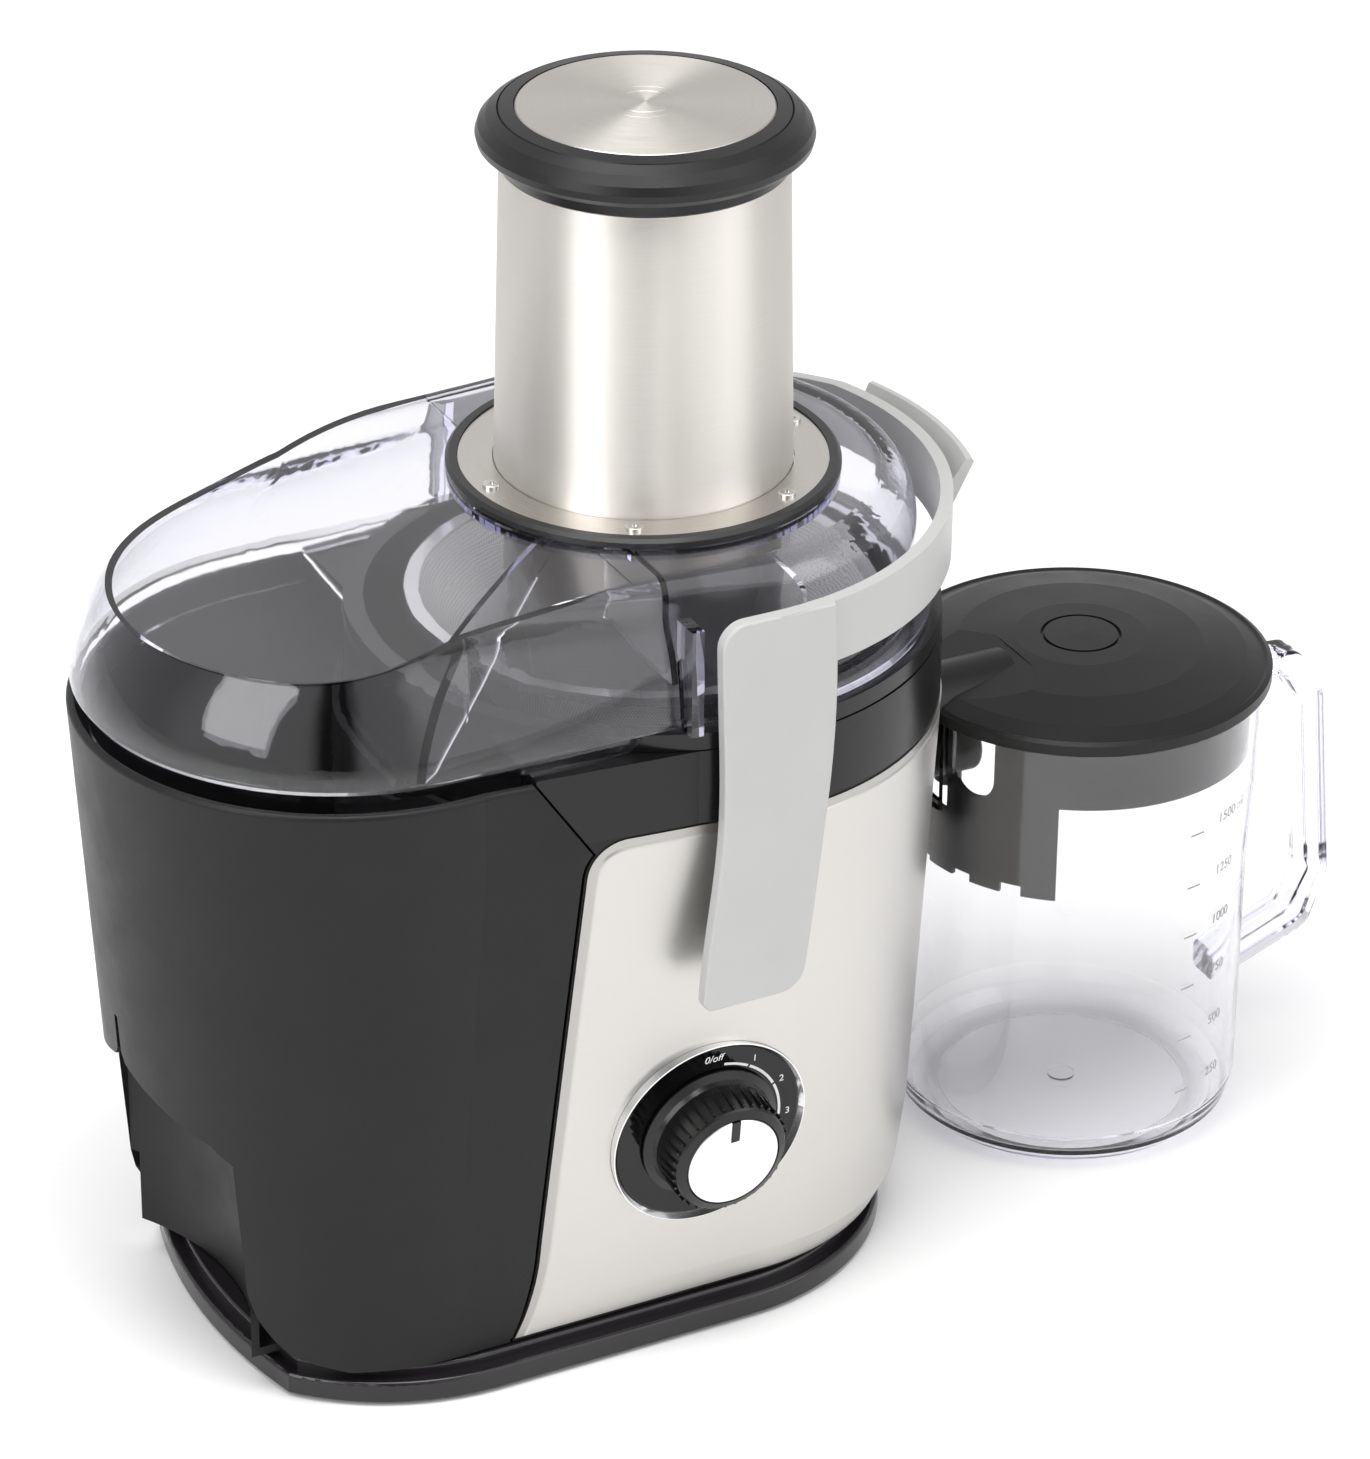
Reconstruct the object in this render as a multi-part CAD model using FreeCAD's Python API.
import FreeCAD, Part
import math
import os
from FreeCAD import Vector

# Centrifugal juicer: motor base with a bowl, filter basket, clear lid, feed tube, pulp container and jug.
# All heights are above the table. Plan dimensions are measured from the motor axis and are
# shifted at export, so that the whole object is centred on the origin.

# ---- driving dimensions, mm ----
PULP_X = -112.5            # centre of the round left end
PULP_TOP_R = 93.0
PULP_LOW_R = 80.0
BODY_TOP_R = 103.0         # bowl end of the body, at the top
BODY_BOTTOM_Z = 14.0
HOUSING_TOP_Z = 213.5
BAND_TOP_Z = 240.5
BOWL_RIM_Z = 247.0
CONTAINER_TOP_Z = 239.0
DECK_Z = 144.0             # floor under the bowl
WALL = 2.6
SEAM_GAP = 1.0             # between the housing and the pulp container

PANEL_T = 1.0              # steel wrap
PANEL_PROUD = 0.5
PANEL_CORNER = 14.0
PANEL_LIP = 0.6            # housing edge that shows beside the wrap

PLINTH_R = 86.5
PLINTH_Z0 = 2.0
PLINTH_STEP_Z = 9.6
PLINTH_Z1 = 13.2

KNOB_X = -18.5
KNOB_Z = 84.3
DIAL_R = 35.0

STATOR_Z0 = 58.0
STATOR_Z1 = 98.0
SHAFT_R = 4.5
RUN_CLEARANCE = 0.05       # radial, for shafts and pins that turn

BOWL_FLOOR_Z = 147.5
SPOUT_Z = 157.0
SPOUT_R = 8.0
OUTLET_X = 124.2
SPOUT_SLOT = 9.5           # half width of the slot in the housing that the spout drops into
BASKET_RIM_Z = 249.4

LID_R = 93.5
LID_WALL = 2.4
LID_TOP_Z = 297.5
LINER_R = 47.2
RING_Z = 300.0
TUBE_TOP_Z = 407.5
PUSHER_R = 43.6
TOTAL_Z = 428.1

ARM_PIVOT_X = -10.0
ARM_PIVOT_Z = 160.0
ARM_IN_Y = 106.0
ARM_OUT_Y = 110.4
ARM_TOP_Z = 290.5
HOOP_X = -6.0              # centre of the hoop that joins the two legs
PIN_R = 3.5

RECESS_HALF = 51.5         # hand recess in the left end

JUG_X = 177.4
JUG_R = 64.0
JUG_TOP_Z = 176.7
NOTCH_HALF = 12.5          # notch in the jug's mouth for the spout
NOTCH_Z = 139.0
HANDLE_REACH_X = 288.0

CENTRE_X = (PULP_X - PULP_TOP_R + HANDLE_REACH_X) / 2.0

X_AXIS = Vector(1, 0, 0)
Y_AXIS = Vector(0, 1, 0)
Z_AXIS = Vector(0, 0, 1)
ORIGIN = Vector(0, 0, 0)

# Body plan at each height: z, right centre x, right radius, left radius.
BODY_SECTIONS = [
    (BODY_BOTTOM_Z, 8.0, 79.5, PULP_LOW_R),
    (24.0, 12.6, 81.2, 80.7),
    (50.0, 12.8, 84.2, 82.1),
    (HOUSING_TOP_Z, 0.0, BODY_TOP_R, 91.5),
    (CONTAINER_TOP_Z, 0.0, BODY_TOP_R, PULP_TOP_R),
]

# Lid plan at each height: z, right radius, left radius.
LID_SECTIONS = [
    (247.4, LID_R, 91.5),
    (259.0, LID_R, 89.4),
    (269.0, LID_R, 85.2),
    (277.0, 93.3, 80.2),
    (284.0, 92.5, 75.6),
    (291.0, 90.5, 76.0),
    (LID_TOP_Z, 81.0, 74.0),
]
# Side view of the lid's top where it falls towards the pulp side.
LID_FALL = [(-45.0, 297.2), (-80.0, 294.5), (-100.0, 290.6), (-118.0, 285.6), (-135.0, 281.6),
            (-160.0, 279.4), (-210.0, 278.8)]
SKIRT_SECTIONS = [(231.0, LID_R, 86.0), (241.5, LID_R, 87.5), (247.4, LID_R, 91.5)]

FOOT_SPOTS = [(52.0, -56.0), (52.0, 56.0), (-120.0, -50.0), (-120.0, 50.0)]
SCREW_SPOTS = [(60.0, -20.0), (60.0, 20.0), (-44.0, -56.0), (-44.0, 56.0)]


# ---- small helpers ----
def cyl(r, z0, z1, x=0.0, y=0.0):
    return Part.makeCylinder(r, z1 - z0, Vector(x, y, z0))


def tube(r_out, r_in, z0, z1, x=0.0, y=0.0):
    return cyl(r_out, z0, z1, x, y).cut(cyl(r_in, z0 - 1, z1 + 1, x, y))


def box(x0, x1, y0, y1, z0, z1):
    return Part.makeBox(x1 - x0, y1 - y0, z1 - z0, Vector(x0, y0, z0))


def bar(r, start, end):
    run = Vector(*end) - Vector(*start)
    return Part.makeCylinder(r, run.Length, Vector(*start), run)


def revolved(profile, x=0.0, angle=360.0):
    """Turn a closed (radius, height) outline about a vertical axis at x."""
    points = [Vector(x + r, 0, z) for r, z in profile]
    face = Part.Face(Part.makePolygon(points + points[:1]))
    return face.revolve(Vector(x, 0, 0), Z_AXIS, angle)


def prism_xz(outline, y0, y1):
    """Extrude an (x, z) outline from y0 to y1."""
    points = [Vector(x, y0, z) for x, z in outline]
    face = Part.Face(Part.makePolygon(points + points[:1]))
    return face.extrude(Vector(0, y1 - y0, 0))


def rounded(solid, radius, wanted):
    """Fillet the edges that the test picks."""
    edges = [edge for edge in solid.Edges if wanted(edge)]
    return solid.makeFillet(radius, edges)


def along(edge, axis):
    first = edge.Vertexes[0].Point
    last = edge.Vertexes[-1].Point
    run = last - first
    return run.Length > 0.01 and abs(run.normalize().dot(axis)) > 0.999


def both_sides(solid):
    """The solid and its mirror image across the centre plane, as separate solids."""
    return Part.makeCompound([solid, solid.mirror(Vector(0, 0, 0), Y_AXIS)])


def fused(shapes):
    return shapes[0].fuse(shapes[1:]).removeSplitter()


def ring_of(solid, count, start=0.0):
    """Copies of a solid, evenly turned about the vertical axis."""
    copies = []
    for i in range(count):
        copy = solid.copy()
        copy.rotate(ORIGIN, Z_AXIS, start + 360.0 * i / count)
        copies.append(copy)
    return copies


# ---- the egg-shaped plan that body, container and lid share ----
def egg_wire(right_x, right_r, left_r, z, left_x=PULP_X):
    """Two arcs about the right and left centres, joined by tangent lines."""
    span = right_x - left_x
    tilt = (right_r - left_r) / span
    side = math.sqrt(1 - tilt * tilt)

    def on_circle(cx, r, sign):
        return Vector(cx + r * tilt, sign * r * side, z)

    a = on_circle(right_x, right_r, -1)
    b = on_circle(right_x, right_r, 1)
    c = on_circle(left_x, left_r, 1)
    d = on_circle(left_x, left_r, -1)
    right_arc = Part.Arc(a, Vector(right_x + right_r, 0, z), b).toShape()
    left_arc = Part.Arc(c, Vector(left_x - left_r, 0, z), d).toShape()
    back = Part.LineSegment(b, c).toShape()
    front = Part.LineSegment(d, a).toShape()
    return Part.Wire([right_arc, back, left_arc, front])


def section_at(z):
    """Body plan at any height, between the driving sections."""
    if z >= BODY_SECTIONS[-1][0]:
        return (z,) + BODY_SECTIONS[-1][1:]
    for low, high in zip(BODY_SECTIONS, BODY_SECTIONS[1:]):
        if low[0] <= z <= high[0]:
            t = (z - low[0]) / (high[0] - low[0])
            return (z,) + tuple(low[i] + t * (high[i] - low[i]) for i in (1, 2, 3))
    return (z,) + BODY_SECTIONS[0][1:]


def body_volume(offset, z0, z1):
    """The outer volume of body and container, grown by offset."""
    heights = [z0] + [s[0] for s in BODY_SECTIONS if z0 < s[0] < z1] + [z1]
    wires = []
    for z in heights:
        _, right_x, right_r, left_r = section_at(z)
        wires.append(egg_wire(right_x, right_r + offset, left_r + offset, z))
    return Part.makeLoft(wires, True, True)


def front_y(z):
    """Distance of the flat front from the centre plane."""
    return section_at(z)[2]


def panel_outline(margin):
    """Side view of the steel wrap: a flared low corner, a slanted left edge and a round top corner."""
    low = Vector(-89.0 - margin, -130, 15.4 - margin)
    flare = Vector(-83.0 - margin, -130, 32.0)
    straight = Vector(-80.2 - margin, -130, 52.0)
    top = Vector(-67.0 - margin, -130, 212.6 + margin)
    far_top = Vector(130.0, -130, 212.6 + margin)
    far_low = Vector(130.0, -130, 15.4 - margin)
    edges = [Part.Arc(low, flare, straight).toShape()]
    for start, end in ((straight, top), (top, far_top), (far_top, far_low), (far_low, low)):
        edges.append(Part.LineSegment(start, end).toShape())
    block = Part.Face(Part.Wire(edges)).extrude(Vector(0, 260, 0))

    def is_top_corner(edge):
        mid = edge.CenterOfMass
        return along(edge, Y_AXIS) and mid.x < 0 and mid.z > 150

    return rounded(block, PANEL_CORNER + margin, is_top_corner)


def right_of_seam(margin):
    """Everything on the housing's side of the seam: round the wrap, then slanting up to the left."""
    wedge = prism_xz([(-62.4 - margin, 205.3), (-85.5 - margin, CONTAINER_TOP_Z), (-86.0 - margin, 252.0),
                      (200.0, 252.0), (200.0, 205.3)], -130, 130)
    foot = box(-89.0 - margin, 200.0, -130, 130, 0.0, 15.5)
    return fused([panel_outline(margin), wedge, foot])


# ---- base ----
def plinth_plan(inset, z):
    """Straight sides, a round right end and a broad, nearly flat left end with large corners."""
    side = Vector(0, -PLINTH_R, z)
    turn = Vector(-97.5, -PLINTH_R, z)
    bend = Vector(-138.6, -76.5, z)
    corner = Vector(-164.0, -57.0, z)
    nose = Vector(-171.5, 0, z)

    def across(point):
        return Vector(point.x, -point.y, point.z)

    edges = [
        Part.LineSegment(turn, side).toShape(),
        Part.Arc(side, Vector(PLINTH_R, 0, z), across(side)).toShape(),
        Part.LineSegment(across(side), across(turn)).toShape(),
        Part.Arc(across(turn), across(bend), across(corner)).toShape(),
        Part.Arc(across(corner), nose, corner).toShape(),
        Part.Arc(corner, bend, turn).toShape(),
    ]
    wire = Part.Wire(edges)
    return wire.makeOffset2D(-inset) if inset else wire


def plinth_outline(inset, z0, z1):
    return Part.Face(plinth_plan(inset, z0)).extrude(Vector(0, 0, z1 - z0))


def base_plinth():
    lower = plinth_outline(0.0, PLINTH_Z0, PLINTH_STEP_Z)
    upper = plinth_outline(5.0, PLINTH_STEP_Z, PLINTH_Z1)
    body = fused([lower, upper])
    edge = [e for e in body.Edges if e.BoundBox.ZMin > PLINTH_Z1 - 0.1]
    body = body.makeFillet(1.2, edge)
    edge = [e for e in body.Edges if abs(e.BoundBox.ZMin - PLINTH_STEP_Z) < 0.01 and e.BoundBox.ZMax < PLINTH_Z1
            and outside_step(e)]
    body = body.makeFillet(1.6, edge)
    pocket = plinth_outline(11.0, 5.0, 14.0).common(box(-58, 120, -90, 90, 0, 20))
    sockets = [cyl(9.2, 0.0, 3.0, x, y) for x, y in FOOT_SPOTS]
    bosses = [cyl(6.0, 5.0, PLINTH_Z1, x, y) for x, y in SCREW_SPOTS]
    holes = [cyl(2.2, 0.0, 14.0, x, y) for x, y in SCREW_SPOTS] + [cyl(4.0, 0.0, 7.0, x, y) for x, y in SCREW_SPOTS]
    vents = [box(-30 + 9 * i, -25 + 9 * i, -26, 26, 0, 6) for i in range(7)]
    return body.cut(pocket).fuse(bosses).cut(sockets + holes + vents)


def outside_step(edge):
    """True for an edge of the lower plan, false for the foot of the step."""
    middle = edge.valueAt((edge.FirstParameter + edge.LastParameter) / 2.0)
    return Part.Face(plinth_plan(2.5, middle.z)).distToShape(Part.Vertex(middle))[0] > 1.0


def base_screws():
    screws = []
    for x, y in SCREW_SPOTS:
        head = cyl(3.6, 4.6, 7.0, x, y)
        shank = cyl(1.9, 7.0, 22.0, x, y)
        screws.append(fused([head, shank]))
    return Part.makeCompound(screws)


def rubber_feet():
    feet = []
    for x, y in FOOT_SPOTS:
        foot = cyl(9.0, 0.0, 3.0, x, y)
        feet.append(rounded(foot, 0.8, lambda e: e.BoundBox.ZMax < 0.1))
    return Part.makeCompound(feet)


# ---- motor housing ----
def cone_radius(z):
    """Radius of the round bowl end, which tapers down to the base."""
    return 80.0 + (BODY_TOP_R - 80.0) * (z - BODY_BOTTOM_Z) / (HOUSING_TOP_Z - BODY_BOTTOM_Z)


def tower(offset, z0, z1):
    """The round left side of the motor room, just inside the outer skin's own radius."""
    low = cone_radius(z0) - 1.5 + offset
    high = cone_radius(z1) - 1.5 + offset
    return Part.makeCone(low, high, z1 - z0, Vector(0, 0, z0))


def housing_volume(offset, z0, z1, seam_margin):
    shell = body_volume(offset, z0, z1).common(right_of_seam(seam_margin))
    return shell.fuse(tower(offset, z0, z1)).removeSplitter()


def dial_frame(shape):
    """Carry a shape drawn about +Z onto the sloping front, with +Z pointing outwards."""
    slope = math.degrees(math.atan2(front_y(HOUSING_TOP_Z) - front_y(50.0), HOUSING_TOP_Z - 50.0))
    placed = shape.copy()
    placed.rotate(Vector(0, 0, 0), X_AXIS, 90.0 + slope)
    placed.translate(Vector(KNOB_X, -front_y(KNOB_Z), KNOB_Z))
    return placed


def dial_cyl(r, z0, z1):
    return dial_frame(cyl(r, z0, z1))


def arm_bars(r, y0, y1):
    """Short bars on the arm's pivot line, one on each side."""
    ends = [((ARM_PIVOT_X, s * y0, ARM_PIVOT_Z), (ARM_PIVOT_X, s * y1, ARM_PIVOT_Z)) for s in (-1, 1)]
    return [bar(r, start, end) for start, end in ends]


def gland_bar(r, y0, y1):
    return bar(r, (20.0, y0, 40.0), (20.0, y1, 40.0))


def spout_slot(z0, z1):
    return box(60.0, 115.0, -SPOUT_SLOT, SPOUT_SLOT, z0, z1)


def wrap_layer(inner, outer, margin):
    """A thin layer over the housing's outside, within the steel wrap's side outline."""
    z0 = BODY_BOTTOM_Z - 1
    z1 = HOUSING_TOP_Z + 1
    return body_volume(outer, z0, z1).cut(body_volume(inner, z0, z1)).common(panel_outline(margin))


def motor_housing():
    outer = housing_volume(0.0, BODY_BOTTOM_Z, HOUSING_TOP_Z, PANEL_LIP)
    motor_room = housing_volume(-WALL - PANEL_T, 17.0, HOUSING_TOP_Z - WALL, PANEL_LIP - WALL)
    motor_room = motor_room.cut(tower(0.0, DECK_Z - 3.0, HOUSING_TOP_Z))
    bowl_room = Part.makeCone(91.0, 99.1, HOUSING_TOP_Z - DECK_Z + 1.0, Vector(0, 0, DECK_Z))
    bosses = [cyl(5.0, 16.0, 26.0, x, y) for x, y in SCREW_SPOTS]
    body = outer.cut([motor_room, bowl_room]).fuse(bosses)
    cuts = [
        wrap_layer(PANEL_PROUD - PANEL_T - 0.2, 2.0, 0.3),
        cyl(14.1, DECK_Z - 5, DECK_Z + 2),
        dial_cyl(9.0, -30.0, 5.0),
        dial_cyl(DIAL_R + 1.9, -3.2, 5.0),
        gland_bar(6.5, 60.0, 100.0),
        spout_slot(148.0, 215.0),
    ]
    cuts += [box(-30 + 9 * i, -25 + 9 * i, -24, 24, 10, 20) for i in range(7)]
    cuts += [cyl(1.9, 12.0, 22.0, x, y) for x, y in SCREW_SPOTS]
    return body.cut(cuts + arm_bars(PIN_R, 80.0, 115.0))


def front_panel():
    sheet = wrap_layer(PANEL_PROUD - PANEL_T, PANEL_PROUD, 0.0)
    cuts = [dial_cyl(DIAL_R + 1.9, -8.0, 8.0), gland_bar(6.5, 60.0, 100.0), spout_slot(148.0, 215.0)]
    return sheet.cut(cuts + arm_bars(PIN_R + 0.4, 80.0, 115.0))


def housing_band():
    """Black band and side wings that carry the bowl above the steel wrap."""
    z0 = HOUSING_TOP_Z
    plan = Part.Face(egg_wire(0.0, BODY_TOP_R, 92.0, z0)).extrude(Vector(0, 0, BAND_TOP_Z - z0))
    wings = plan.common(right_of_seam(PANEL_LIP))
    outer = wings.fuse(cyl(BODY_TOP_R, z0, BAND_TOP_Z)).removeSplitter()
    return outer.cut([cyl(100.0, z0 - 1, BAND_TOP_Z + 1), spout_slot(z0 - 1, BAND_TOP_Z + 1)])


def cord_gland():
    """Collar in the back wall where the mains lead enters."""
    wall_y = front_y(50.0)
    outside = gland_bar(9.0, wall_y + 0.7, wall_y + 4.2)
    neck = gland_bar(6.4, wall_y - 9.0, wall_y + 1.0)
    return fused([outside, neck]).cut(gland_bar(3.6, wall_y - 12.0, wall_y + 6.0))


# ---- control: dial, knob and what is behind them ----
def dial_plate():
    disc = cyl(DIAL_R, -3.0, -0.6)
    disc = rounded(disc, 0.5, lambda e: e.BoundBox.ZMin > 0.0 - 0.7)
    return dial_frame(disc.cut(cyl(5.2, -4.0, 2.0)))


def dial_bezel():
    """Bright ring that slopes down from the wrap to the dial."""
    return dial_frame(revolved([(DIAL_R + 0.05, -3.0), (DIAL_R + 1.8, -3.0), (DIAL_R + 1.8, 0.9), (DIAL_R + 1.4, 1.0),
                                (DIAL_R + 0.05, -0.9)]))


def knob_body():
    skirt = revolved([(5.4, 0.1), (25.6, 0.1), (25.6, 1.0), (23.0, 2.4), (22.2, 4.0), (20.9, 16.4), (20.4, 17.0),
                      (17.7, 18.2), (17.5, 15.6), (5.4, 15.6)])
    hub = revolved([(3.0, 0.1), (5.5, 0.1), (5.5, 15.7), (3.0, 15.7)])
    grip = box(20.8, 22.1, -0.45, 0.45, 4.6, 15.6)
    return dial_frame(fused([skirt, hub] + ring_of(grip, 36)))


def knob_cap():
    disc = rounded(cyl(17.2, 15.7, 18.4), 0.5, lambda e: e.BoundBox.ZMin > 18.3)
    slot = box(-1.7, 1.7, 8.6, 18.0, 17.2, 19.0)
    return dial_frame(disc.cut(slot))


def knob_marker():
    """Pointer let into the cap, round at its inner end."""
    bar_part = box(-1.5, 1.5, 10.2, 17.1, 17.22, 18.6)
    return dial_frame(fused([bar_part, cyl(1.5, 17.22, 18.6, 0.0, 10.2)]))


def knob_shaft():
    return dial_cyl(3.0, -16.0, 15.6)


def rotary_switch():
    body = box(-13.0, 13.0, -13.0, 13.0, -24.0, -10.5)
    collar = cyl(6.0, -10.5, -4.6)
    return dial_frame(fused([body, collar]).cut(cyl(3.06, -20.0, 0.0)))


def control_board():
    board = box(-22.0, 24.0, -30.0, -15.0, -26.0, -24.2)
    chip = box(-8.0, 4.0, -26.0, -18.0, -24.2, -21.0)
    capacitor = box(10.0, 20.0, -28.0, -18.0, -24.2, -12.0)
    return dial_frame(fused([board, chip, capacitor]))


def interlock_switch():
    """Switch beside the arm's pivot, so that the motor runs only with the arm closed."""
    body = box(ARM_PIVOT_X + 12.0, ARM_PIVOT_X + 24.0, -87.3, -76.0, 118.0, 138.0)
    lever = box(ARM_PIVOT_X + 9.6, ARM_PIVOT_X + 12.0, -82.0, -78.0, 122.0, 139.0)
    return fused([body, lever])


# ---- motor and drive train ----
def motor_bracket(z0, z1, bore):
    arms = box(-52.0, 52.0, -11.0, 11.0, z0, z1)
    posts = [cyl(6.0, z0, z1, x) for x in (-46.0, 46.0)]
    ring = cyl(17.0, z0 - 4.0, z1 + 4.0)
    holes = [cyl(2.2, z0 - 1, z1 + 1, x) for x in (-46.0, 46.0)]
    return fused([arms, ring] + posts).cut([cyl(bore, z0 - 5, z1 + 5)] + holes)


def lower_bracket():
    return motor_bracket(34.0, 38.0, 11.0)


def upper_bracket():
    return motor_bracket(122.0, 126.0, 11.0)


def motor_bolts():
    bolts = []
    for x in (-46.0, 46.0):
        shank = cyl(2.15, 31.0, 129.0, x)
        head = cyl(4.2, 28.0, 31.0, x)
        bolts.append(fused([shank, head]))
    return Part.makeCompound(bolts)


def bearing(z0, z1):
    return tube(10.95, SHAFT_R + RUN_CLEARANCE, z0, z1)


def motor_mounts():
    """Rubber grommets that hang the motor from the deck."""
    return Part.makeCompound([tube(7.5, 2.3, 126.1, DECK_Z - 3.1, x) for x in (-46.0, 46.0)])


def stator_core():
    yoke = box(-40.0, 40.0, -42.0, 42.0, STATOR_Z0, STATOR_Z1)
    yoke = rounded(yoke, 10.0, lambda e: along(e, Z_AXIS))
    rotor_room = cyl(26.7, STATOR_Z0 - 1, STATOR_Z1 + 1)
    slot = box(-20.0, 20.0, -34.0, -24.0, STATOR_Z0 - 1, STATOR_Z1 + 1)
    return yoke.cut([rotor_room, both_sides(slot)])


def field_coils():
    coil = box(-19.0, 19.0, -33.6, -24.4, STATOR_Z0 - 7.0, STATOR_Z1 + 5.0)
    return both_sides(coil.cut(cyl(28.0, STATOR_Z0 - 9, STATOR_Z1 + 9)))


def drive_shaft():
    return cyl(SHAFT_R, 30.0, 190.0).cut(cyl(1.6, 182.0, 191.0))


def rotor_core():
    core = tube(25.9, SHAFT_R, STATOR_Z0, STATOR_Z1)
    slot = box(19.0, 27.0, -1.4, 1.4, STATOR_Z0 - 1, STATOR_Z1 + 1)
    return core.cut(ring_of(slot, 12))


def commutator():
    drum = tube(13.0, SHAFT_R, 103.0, 117.0)
    groove = box(12.0, 14.0, -0.3, 0.3, 102.0, 118.0)
    return drum.cut(ring_of(groove, 12, 15.0))


def carbon_brushes():
    return Part.makeCompound(ring_of(box(13.4, 24.0, -3.0, 3.0, 106.0, 114.0), 2))


def brush_holders():
    block = box(17.6, 32.0, -5.5, 5.5, 103.5, 121.9)
    room = box(15.0, 30.0, -3.1, 3.1, 105.9, 114.1)
    return Part.makeCompound(ring_of(block.cut(room), 2))


def cooling_fan():
    hub = tube(9.0, SHAFT_R, 42.6, 49.4)
    plate = tube(34.0, 8.0, 42.6, 44.0)
    blade = box(8.5, 33.5, -0.7, 0.7, 43.4, 49.0)
    return fused([hub, plate] + ring_of(blade, 10))


def shaft_seal():
    body = tube(14.0, SHAFT_R + 0.08, DECK_Z - 4.5, DECK_Z - 0.5)
    lip = tube(8.0, SHAFT_R + 0.08, DECK_Z - 0.6, DECK_Z + 1.2)
    return fused([body, lip])


def drive_coupling():
    body = tube(13.4, SHAFT_R, 166.0, 189.0)
    tooth = box(12.5, 15.6, -2.0, 2.0, 176.0, 189.0)
    return fused([body] + ring_of(tooth, 6))


# ---- juice bowl, spout and drip stop ----
def juice_bowl():
    z0 = BOWL_FLOOR_Z
    floor_z = z0 + 3.0
    profile = [
        (20.0, 196.0), (24.5, 196.0), (31.0, floor_z), (86.8, floor_z), (94.6, HOUSING_TOP_Z), (95.4, BOWL_RIM_Z),
        (102.5, BOWL_RIM_Z), (102.5, BAND_TOP_Z + 0.3), (98.0, BAND_TOP_Z + 0.3), (97.4, HOUSING_TOP_Z),
        (89.8, z0), (27.0, z0),
    ]
    pipe = bar(SPOUT_R, (80.0, 0, SPOUT_Z), (130.5, 0, SPOUT_Z))
    bore = bar(SPOUT_R - 1.6, (74.0, 0, SPOUT_Z), (128.6, 0, SPOUT_Z))
    port = cyl(4.0, SPOUT_Z - 12.0, SPOUT_Z, OUTLET_X)
    inside = Part.makeCone(86.8, 94.6, HOUSING_TOP_Z - floor_z, Vector(0, 0, floor_z))
    body = revolved(profile).fuse(pipe.cut(inside)).removeSplitter()
    return body.cut([bore, port])


def drip_stop():
    """Sleeve that turns on the spout: outlet down to pour, outlet up to stop drips."""
    sleeve = bar(9.8, (109.0, 0, SPOUT_Z), (133.4, 0, SPOUT_Z))
    sleeve = rounded(sleeve, 2.2, lambda e: e.BoundBox.XMin > 133.0)
    nozzle = cyl(5.2, SPOUT_Z - 13.2, SPOUT_Z - 6.0, OUTLET_X)
    room = bar(SPOUT_R + RUN_CLEARANCE, (108.0, 0, SPOUT_Z), (131.0, 0, SPOUT_Z))
    port = cyl(4.0, SPOUT_Z - 16.0, SPOUT_Z, OUTLET_X)
    return fused([sleeve, nozzle]).cut([room, port])


# ---- filter basket ----
def filter_mesh():
    return revolved([(47.2, 205.1), (48.1, 205.1), (77.0, BASKET_RIM_Z - 0.5), (76.1, BASKET_RIM_Z - 0.5)])


def basket_rim():
    z = BASKET_RIM_Z
    return revolved([(76.2, z - 0.4), (80.4, z - 0.4), (80.4, z - 3.0), (81.2, z - 3.0), (81.2, z + 0.6),
                     (76.2, z + 0.6)])


def basket_hub():
    plate = tube(49.0, 16.2, 199.5, 205.0)
    boss = tube(18.4, 16.2, 180.0, 200.0)
    cap = cyl(18.4, 192.0, 199.6)
    lug = box(13.6, 16.6, -1.6, 1.6, 181.0, 192.0)
    return fused([plate, boss, cap] + ring_of(lug, 6, 30.0))


def grater_disc():
    disc = cyl(46.8, 205.1, 206.1)
    teeth = []
    for ring in range(4):
        tooth = Part.makeCone(1.5, 0.3, 1.9, Vector(14.0 + 8.5 * ring, 0, 206.0))
        teeth += ring_of(tooth, 6 + 4 * ring, 11.0 * ring)
    return fused([disc] + teeth)


# ---- clear lid with feed tube ----
def lid_volume(offset):
    """Egg plan that draws in towards a flat top, which falls towards the pulp side behind a sharp crease."""
    wires = []
    for z, right_r, left_r in LID_SECTIONS:
        height = z if z == LID_SECTIONS[0][0] else z - offset
        wires.append(egg_wire(0.0, right_r - offset, left_r - offset, height))
    block = Part.makeLoft(wires, True, False)
    fall = Part.BSplineCurve()
    fall.interpolate([Vector(x, -130.0, z - offset) for x, z in LID_FALL])
    start, end = (Vector(x, -130.0, z - offset) for x, z in (LID_FALL[0], LID_FALL[-1]))
    top = Vector(0, 0, 30.0)
    sides = Part.makePolygon([end, end + top, start + top, start])
    above = Part.Face(Part.Wire([fall.toShape()] + sides.Edges)).extrude(Vector(0, 260.0, 0))
    return block.cut(above)


def lid_skirt():
    """Lower wall: close above the housing wings, and deeper inside the container's rim."""
    outer = Part.makeLoft([egg_wire(0.0, right, left, z) for z, right, left in SKIRT_SECTIONS], True, True)
    inner = []
    for z, right, left in SKIRT_SECTIONS:
        reach = {SKIRT_SECTIONS[0][0]: -1.0, SKIRT_SECTIONS[-1][0]: 1.0}.get(z, 0.0)
        inner.append(egg_wire(0.0, right - LID_WALL, left - LID_WALL, z + reach))
    ring = outer.cut(Part.makeLoft(inner, True, True))
    over_wings = box(-88.5, 120.0, -120, 120, 229.0, BAND_TOP_Z + 0.7)
    return ring.cut([cyl(103.6, 230.0, BOWL_RIM_Z + 0.4), over_wings])


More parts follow.
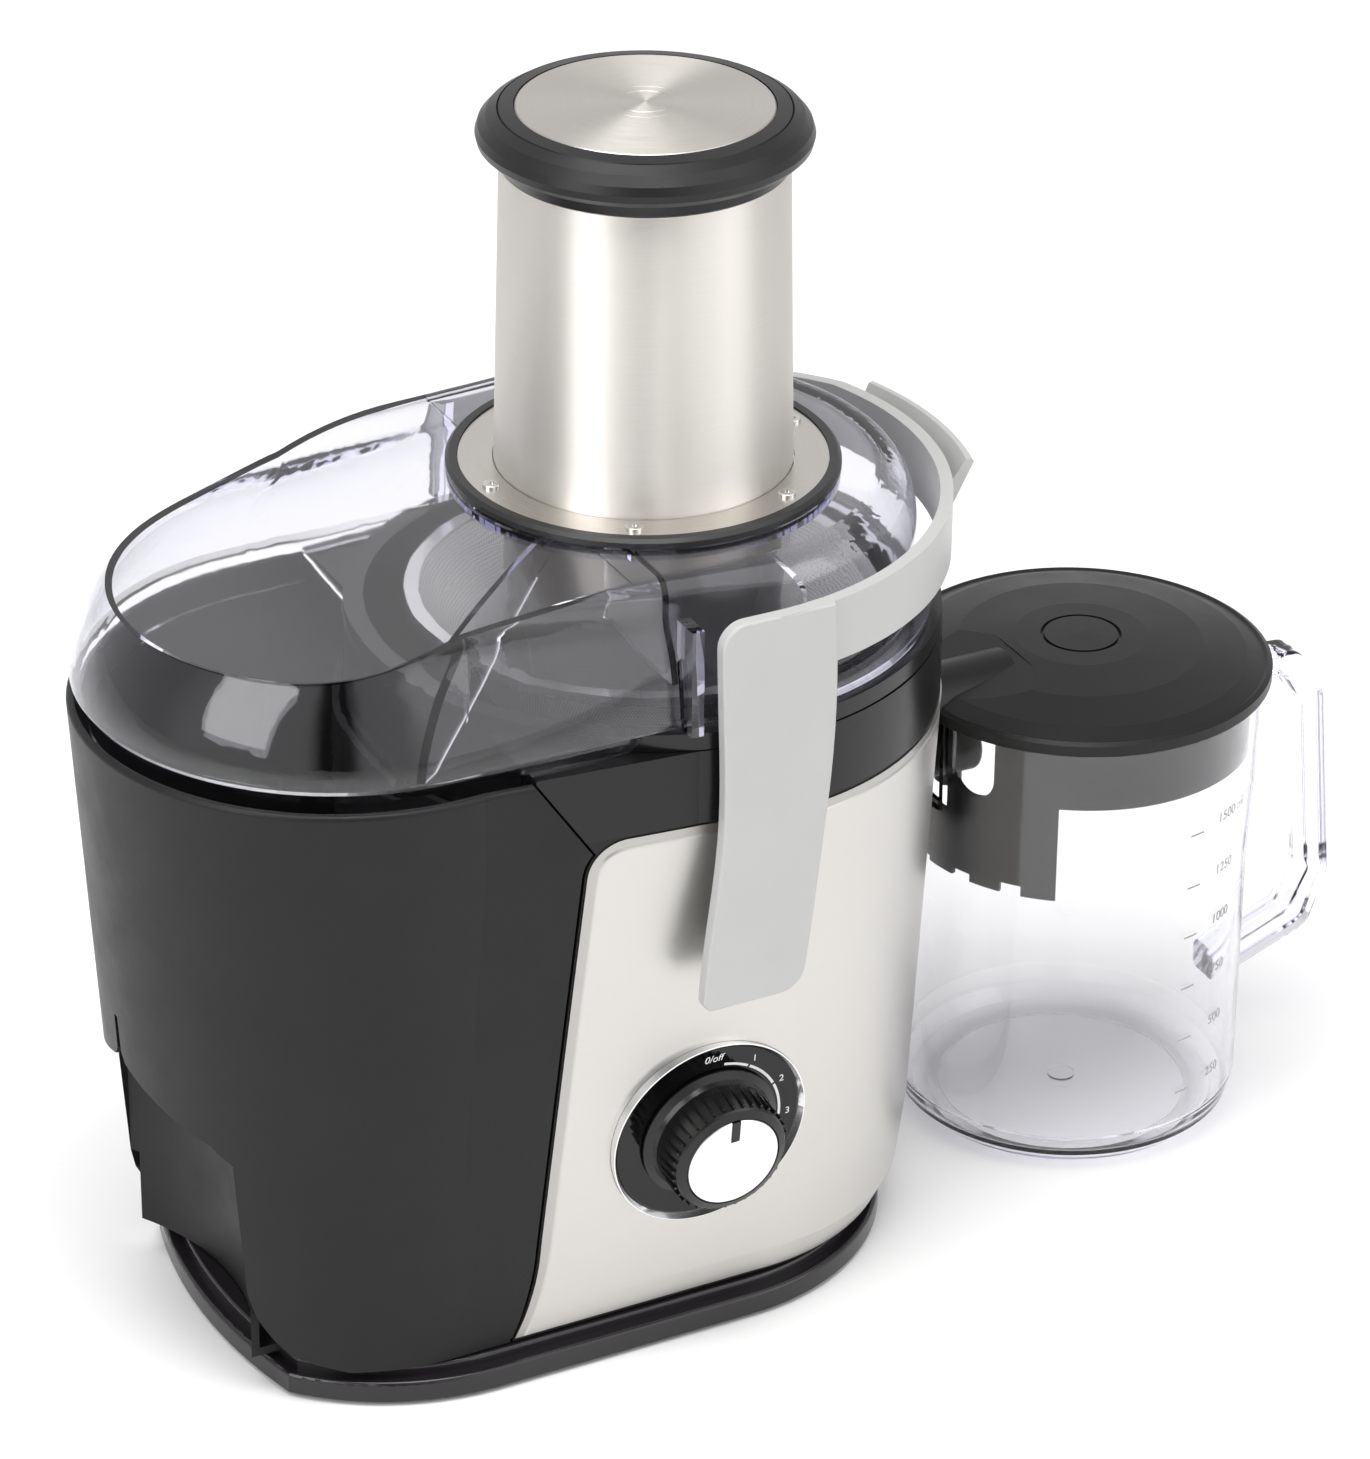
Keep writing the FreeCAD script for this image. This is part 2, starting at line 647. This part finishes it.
def plate_between(start, end, low_start, low_end, top, thickness):
    """Upright clear plate from start to end in plan, with a sloping lower edge."""
    run = Vector(end[0] - start[0], end[1] - start[1], 0)
    length = run.Length
    points = [Vector(0, 0, low_start), Vector(length, 0, low_end), Vector(length, 0, top), Vector(0, 0, top)]
    face = Part.Face(Part.makePolygon(points + points[:1]))
    plate = face.extrude(Vector(0, thickness, 0))
    plate.rotate(Vector(0, 0, 0), Z_AXIS, math.degrees(math.atan2(run.y, run.x)))
    plate.translate(Vector(start[0], start[1], 0))
    return plate


def lid():
    z0 = BOWL_RIM_Z + 0.4
    outer = lid_volume(0.0)
    room = lid_volume(LID_WALL)
    hollow = Part.Face(egg_wire(0.0, LID_R - LID_WALL, 91.5 - LID_WALL, z0 - 2.0)).extrude(Vector(0, 0, 2.1))
    flange = tube(99.2, LID_R - 1.0, z0, z0 + 3.2)
    deflector = plate_between((-45.0, -25.0), (-127.0, -88.0), 290.0, 243.0, 297.0, 2.2)
    web = plate_between((-35.0, -40.0), (-35.0, -92.0), 262.0, 262.0, 297.0, 2.2)
    lug = box(-33.5, -29.0, -101.0, -90.0, z0, 286.0)
    seat = tube(66.9, LINER_R, LID_TOP_Z - 6.0, LID_TOP_Z)
    shell = fused([outer, flange, lid_skirt(), both_sides(lug)]).cut([room, hollow])
    inner_parts = [deflector.common(outer), web.common(outer), seat]
    return shell.fuse(inner_parts).removeSplitter().cut([cyl(LINER_R + 0.02, 230.0, 310.0), screw_cut()])


def screw_cut():
    return Part.makeCompound(ring_of(cyl(1.4, 293.0, 301.0, 57.2), 6))


def lid_gasket():
    z = LID_TOP_Z
    return revolved([(63.1, z), (67.2, z), (67.2, 299.4), (66.0, 300.6), (63.1, 300.6)])


def ring_plate():
    plate = tube(62.9, 51.2, LID_TOP_Z, RING_Z)
    return plate.cut(ring_of(cyl(1.5, 290.0, 301.0, 57.2), 6))


def lid_screws():
    head = rounded(cyl(3.0, RING_Z, RING_Z + 1.2, 57.2), 0.4, lambda e: e.BoundBox.ZMin > RING_Z + 1.0)
    socket = cyl(1.2, RING_Z + 0.4, RING_Z + 2.0, 57.2)
    shank = cyl(1.38, 293.4, RING_Z + 0.1, 57.2)
    return Part.makeCompound(ring_of(fused([head, shank]).cut(socket), 6))


def feed_tube():
    return revolved([(50.0, LID_TOP_Z), (50.9, LID_TOP_Z), (48.4, TUBE_TOP_Z), (47.5, TUBE_TOP_Z)])


def chute_liner():
    """Inner tube of the feed chute, from the top of the steel tube down into the basket."""
    return tube(LINER_R, 44.8, 212.5, TUBE_TOP_Z - 0.6)


# ---- pusher ----
def pusher_body():
    wall = tube(PUSHER_R, PUSHER_R - 2.4, 270.0, 410.0)
    floor = cyl(PUSHER_R, 266.0, 270.5)
    floor = rounded(floor, 2.0, lambda e: e.BoundBox.ZMax < 266.5)
    return fused([wall, floor])


def pusher_cap():
    profile = [
        (PUSHER_R - 2.3, 410.1), (PUSHER_R + 0.1, 410.1), (PUSHER_R + 0.1, TUBE_TOP_Z + 0.4), (48.6, TUBE_TOP_Z + 0.4),
        (50.6, 412.2), (53.4, 413.2), (55.6, 415.4), (56.2, 418.0), (55.3, 420.9), (52.6, 424.0),
        (49.0, 426.2), (48.7, 425.7), (48.3, 426.4), (43.4, 427.2), (43.4, 424.2), (PUSHER_R - 2.3, 424.2),
    ]
    return revolved(profile)


def pusher_disc():
    return revolved([(0.0, 424.3), (43.2, 424.3), (43.2, 426.7), (42.6, 427.2), (20.0, 428.0), (0.0, TOTAL_Z)])


# ---- locking arm ----
def leg_edge(points):
    curve = Part.BSplineCurve()
    curve.interpolate([Vector(x, -ARM_OUT_Y, z) for x, z in points])
    return curve.toShape()


def arm_leg():
    """Flat leg that widens in a gentle curve towards the hoop, with round corners."""
    z0 = 147.0
    left = [(-32.8, z0), (-32.2, 157.0), (-28.8, 185.0), (-26.0, 212.0), (-26.0, 247.0), (-27.2, ARM_TOP_Z)]
    right = [(14.4, ARM_TOP_Z), (15.6, 266.0), (14.4, 229.0), (10.4, 192.0), (6.0, 157.0), (4.4, z0)]
    top = Part.LineSegment(Vector(-27.2, -ARM_OUT_Y, ARM_TOP_Z), Vector(14.4, -ARM_OUT_Y, ARM_TOP_Z)).toShape()
    low = Part.LineSegment(Vector(4.4, -ARM_OUT_Y, z0), Vector(-32.8, -ARM_OUT_Y, z0)).toShape()
    wire = Part.Wire([leg_edge(left), top, leg_edge(right), low])
    slab = Part.Face(wire).extrude(Vector(0, ARM_OUT_Y - ARM_IN_Y, 0))

    def corner(x_low, x_high, z_low, z_high):
        def test(edge):
            mid = edge.CenterOfMass
            return along(edge, Y_AXIS) and x_low < mid.x < x_high and z_low < mid.z < z_high
        return test

    slab = rounded(slab, 9.0, corner(-40, -20, 280, 300))
    slab = rounded(slab, 10.0, corner(0, 12, 140, 150))
    slab = rounded(slab, 4.0, corner(-40, -25, 140, 150))
    return rounded(slab, 0.9, lambda e: abs(e.CenterOfMass.y + ARM_OUT_Y) < 0.01)


def locking_arm():
    hoop = tube(ARM_OUT_Y, ARM_IN_Y, 268.0, ARM_TOP_Z, HOOP_X)
    hoop = hoop.common(box(HOOP_X, 120.0, -120, 120, 260, 300))
    lip = revolved([(ARM_IN_Y, 271.0), (ARM_OUT_Y, 266.0), (120.4, 288.6), (119.6, 289.6), (117.6, 289.6)],
                   0.0, 34.0)
    lip.rotate(ORIGIN, Z_AXIS, -17.0)
    lip.translate(Vector(HOOP_X, 0, 0))
    leg = arm_leg()
    body = fused([hoop, lip, leg, leg.mirror(ORIGIN, Y_AXIS)])
    fall = [Vector(-60, y, z) for y, z in ((36.0, ARM_TOP_Z + 0.1), (130.0, ARM_TOP_Z - 11.3), (130.0, 310.0),
                                           (36.0, 310.0), (36.0, ARM_TOP_Z + 0.1))]
    above_back = Part.Face(Part.makePolygon(fall)).extrude(Vector(200, 0, 0))
    return body.cut([above_back] + arm_bars(PIN_R + RUN_CLEARANCE, 100.0, 108.8))


def arm_pivots():
    return Part.makeCompound(arm_bars(PIN_R, 93.6, 108.5))


def arm_spacers():
    ring = arm_bars(7.0, 98.8, 105.6)
    return Part.makeCompound([solid.cut(arm_bars(PIN_R, 90.0, 110.0)) for solid in ring])


# ---- pulp container ----
def end_prism(outline, x_end):
    """Extrude a (y, z) outline from beyond the left end up to x_end."""
    points = [Vector(-220.0, y, z) for y, z in outline]
    return Part.Face(Part.makePolygon(points + points[:1])).extrude(Vector(x_end + 220.0, 0, 0))


def recess(offset):
    """Hand recess low in the left end: scooped, arched, with a slit above and flared feet."""
    side = RECESS_HALF + offset
    arch = [(side, 0.0), (side, 95.0 + offset), (side - 7.0, 101.0 + offset), (4.0 + offset, 114.5 + offset),
            (1.6 + offset, 118.0 + offset), (1.2 + offset, 132.0 + offset)]
    outline = arch + [(-y, z) for y, z in reversed(arch)]
    scoop = end_prism(outline, -110.0).common(cyl(92.0 + offset, -1.0, 150.0, -252.0))
    foot = [(side - 3.0, 0.0), (72.0 + offset, 0.0), (72.0 + offset, 14.0), (61.4 + offset, 19.6 + offset),
            (57.7 + offset, 25.0 + offset), (53.6 + offset, 33.0 + offset), (side, 42.0 + offset), (side - 3.0, 42.0)]
    feet = both_sides(end_prism(foot, -148.0 + offset))
    return scoop.fuse(feet.Solids).removeSplitter()


def pulp_container():
    """Shell round the left end, cut to clear housing and bowl; its inner wall stops below the mouth."""
    margin = PANEL_LIP + SEAM_GAP
    bowl_side = 104.4
    outer = rounded(body_volume(0.0, BODY_BOTTOM_Z, CONTAINER_TOP_Z), 1.8, lambda e: e.BoundBox.ZMin > 238.9)
    outer = outer.cut([right_of_seam(margin), cyl(bowl_side, 0, 300)])
    inner_wall = right_of_seam(margin + WALL).fuse(cyl(bowl_side + WALL, 0, 300))
    inner_wall = inner_wall.common(box(-200, 200, -130, 130, 0.0, 212.0))
    room = body_volume(-WALL, BODY_BOTTOM_Z + 3.0, CONTAINER_TOP_Z + 1.0).cut([inner_wall, recess(WALL)])
    return outer.cut([room, recess(0.0)])


# ---- jug ----
def jug_shell():
    outline = [(0.0, 1.2), (46.0, 1.2), (46.0, 0.0), (50.0, 0.0), (57.0, 2.0), (62.0, 7.0), (JUG_R, 15.0),
               (JUG_R, 100.0), (65.5, 140.0), (66.0, JUG_TOP_Z), (63.4, JUG_TOP_Z), (63.0, 140.0), (61.6, 100.0),
               (61.5, 15.0), (59.6, 9.0), (54.0, 4.6), (50.0, 4.0), (0.0, 4.0)]
    gate_mark = cyl(5.0, 4.0, 4.8, JUG_X)
    return revolved(outline, JUG_X).fuse(gate_mark).removeSplitter()


def jug_handle():
    outer = [(236.0, 166.5), (269.0, 164.0), (281.0, 145.0), (HANDLE_REACH_X, 68.0), (280.0, 45.0), (236.0, 29.0)]
    inner = [(236.0, 156.5), (263.5, 154.5), (271.0, 142.0), (277.5, 70.0), (270.5, 54.0), (236.0, 41.0)]

    def bend(solid, radius):
        return rounded(solid, radius, lambda e: along(e, Y_AXIS) and e.CenterOfMass.x > 240)

    grip = bend(prism_xz(outer, -7.5, 7.5), 8.0).cut(bend(prism_xz(inner, -9.0, 9.0), 5.0))
    grip = rounded(grip, 3.0, lambda e: abs(abs(e.CenterOfMass.y) - 7.5) < 0.01)
    return grip.cut(cyl(JUG_R + 1.0, 0.0, 200.0, JUG_X)).fuse(grip.common(
        tube(JUG_R + 2.0, JUG_R - 1.5, 30.0, 172.0, JUG_X)))


def spout_gap():
    return box(100.0, 125.0, -NOTCH_HALF, NOTCH_HALF, NOTCH_Z, 200.0)


def jug():
    body = jug_shell().fuse(jug_handle()).removeSplitter()
    return body.cut([spout_gap(), cyl(61.5, 16.0, 99.0, JUG_X)])


def froth_separator():
    """Dark collar in the jug's mouth, with a deep panel and slots on the spout side."""
    collar = tube(62.2, 60.4, 152.0, JUG_TOP_Z - 0.2, JUG_X)
    panel = tube(61.2, 59.4, 114.0, 153.0, JUG_X).common(box(100.0, 141.0, -70, 70, 100, 160))
    body = collar.fuse(panel).removeSplitter()
    cuts = [spout_gap()]
    for side in (-1, 1):
        angle = math.radians(180.0 + side * 23.0)
        x = JUG_X + 60.0 * math.cos(angle)
        y = 60.0 * math.sin(angle)
        run = Vector(math.cos(angle), math.sin(angle), 0)
        start = Vector(x, y, 158.5) - run * 10
        slot = Part.makeCylinder(9.0, 20.0, start, run)
        upper = Part.makeBox(18.0, 20.0, 30.0, Vector(-9.0, 0, 0))
        upper.rotate(Vector(0, 0, 0), Z_AXIS, math.degrees(math.atan2(run.y, run.x)) - 90.0)
        upper.translate(start)
        cuts += [slot, upper]
    for i in range(-2, 3):
        notch = box(-64.0, -56.0, -4.0, 4.0, 113.0, 116.0 + abs(i))
        notch.rotate(Vector(0, 0, 0), Z_AXIS, 19.0 * i)
        notch.translate(Vector(JUG_X, 0, 0))
        cuts.append(notch)
    return body.cut(cuts)


def jug_lid():
    rim_z = JUG_TOP_Z + 0.3
    dome = revolved([(0.0, rim_z), (69.3, rim_z), (69.3, 181.0), (67.6, 182.0), (66.4, 181.5), (60.0, 184.0),
                     (44.0, 187.6), (24.0, 189.6), (0.0, 190.2)], JUG_X)
    ramp = prism_xz([(JUG_X - 27.5, 188.9), (104.0, 181.6), (104.0, 200.0), (JUG_X - 27.5, 200.0)], -80, 80)
    tunnel_room = bar(13.0, (100.0, 0, 175.0), (JUG_X - 34.0, 0, 175.0)).common(box(90, 150, -20, 20, 176, 200))
    tunnel = bar(15.0, (JUG_X - 68.0, 0, 175.0), (JUG_X - 31.5, 0, 175.0)).common(box(90, 160, -20, 20, rim_z, 200))
    underside = revolved([(0.0, 170.0), (59.5, 170.0), (59.5, 180.0), (42.0, 184.6), (24.0, 186.8), (0.0, 187.2)], JUG_X)
    ramp_low = prism_xz([(JUG_X - 27.0, 186.0), (104.0, 178.7), (104.0, 200.0), (JUG_X - 27.0, 200.0)], -80, 80)
    underside = underside.cut(ramp_low)
    emblem = revolved([(13.4, 188.6), (14.6, 188.6), (14.6, 191.0), (13.4, 191.0)], JUG_X)
    body = dome.cut([ramp, underside]).fuse(tunnel).removeSplitter()
    return body.cut([tunnel_room, emblem])


# ---- every piece ----
PIECES = {
    "rubber_feet": rubber_feet,
    "base_plinth": base_plinth,
    "base_screws": base_screws,
    "motor_housing": motor_housing,
    "front_panel": front_panel,
    "housing_band": housing_band,
    "cord_gland": cord_gland,
    "dial_plate": dial_plate,
    "dial_bezel": dial_bezel,
    "knob_body": knob_body,
    "knob_cap": knob_cap,
    "knob_marker": knob_marker,
    "knob_shaft": knob_shaft,
    "rotary_switch": rotary_switch,
    "control_board": control_board,
    "interlock_switch": interlock_switch,
    "lower_bracket": lower_bracket,
    "upper_bracket": upper_bracket,
    "motor_bolts": motor_bolts,
    "lower_bearing": lambda: bearing(32.0, 40.0),
    "upper_bearing": lambda: bearing(120.0, 128.0),
    "motor_mounts": motor_mounts,
    "stator_core": stator_core,
    "field_coils": field_coils,
    "drive_shaft": drive_shaft,
    "rotor_core": rotor_core,
    "commutator": commutator,
    "carbon_brushes": carbon_brushes,
    "brush_holders": brush_holders,
    "cooling_fan": cooling_fan,
    "shaft_seal": shaft_seal,
    "drive_coupling": drive_coupling,
    "juice_bowl": juice_bowl,
    "drip_stop": drip_stop,
    "basket_hub": basket_hub,
    "grater_disc": grater_disc,
    "filter_mesh": filter_mesh,
    "basket_rim": basket_rim,
    "lid": lid,
    "lid_gasket": lid_gasket,
    "ring_plate": ring_plate,
    "lid_screws": lid_screws,
    "feed_tube": feed_tube,
    "chute_liner": chute_liner,
    "pusher_body": pusher_body,
    "pusher_cap": pusher_cap,
    "pusher_disc": pusher_disc,
    "locking_arm": locking_arm,
    "arm_pivots": arm_pivots,
    "arm_spacers": arm_spacers,
    "pulp_container": pulp_container,
    "jug": jug,
    "froth_separator": froth_separator,
    "jug_lid": jug_lid,
}

os.makedirs("parts", exist_ok=True)
for name, make in PIECES.items():
    shape = make()
    shape.translate(Vector(-CENTRE_X, 0, 0))
    bounds = shape.BoundBox
    print(f"{name:18s} valid={shape.isValid()} solids={len(shape.Solids)} volume={shape.Volume / 1000:.2f} cm3",
          [round(v, 1) for v in (bounds.XMin, bounds.XMax, bounds.YMin, bounds.YMax, bounds.ZMin, bounds.ZMax)])
    shape.exportStep(f"parts/{name}.step")
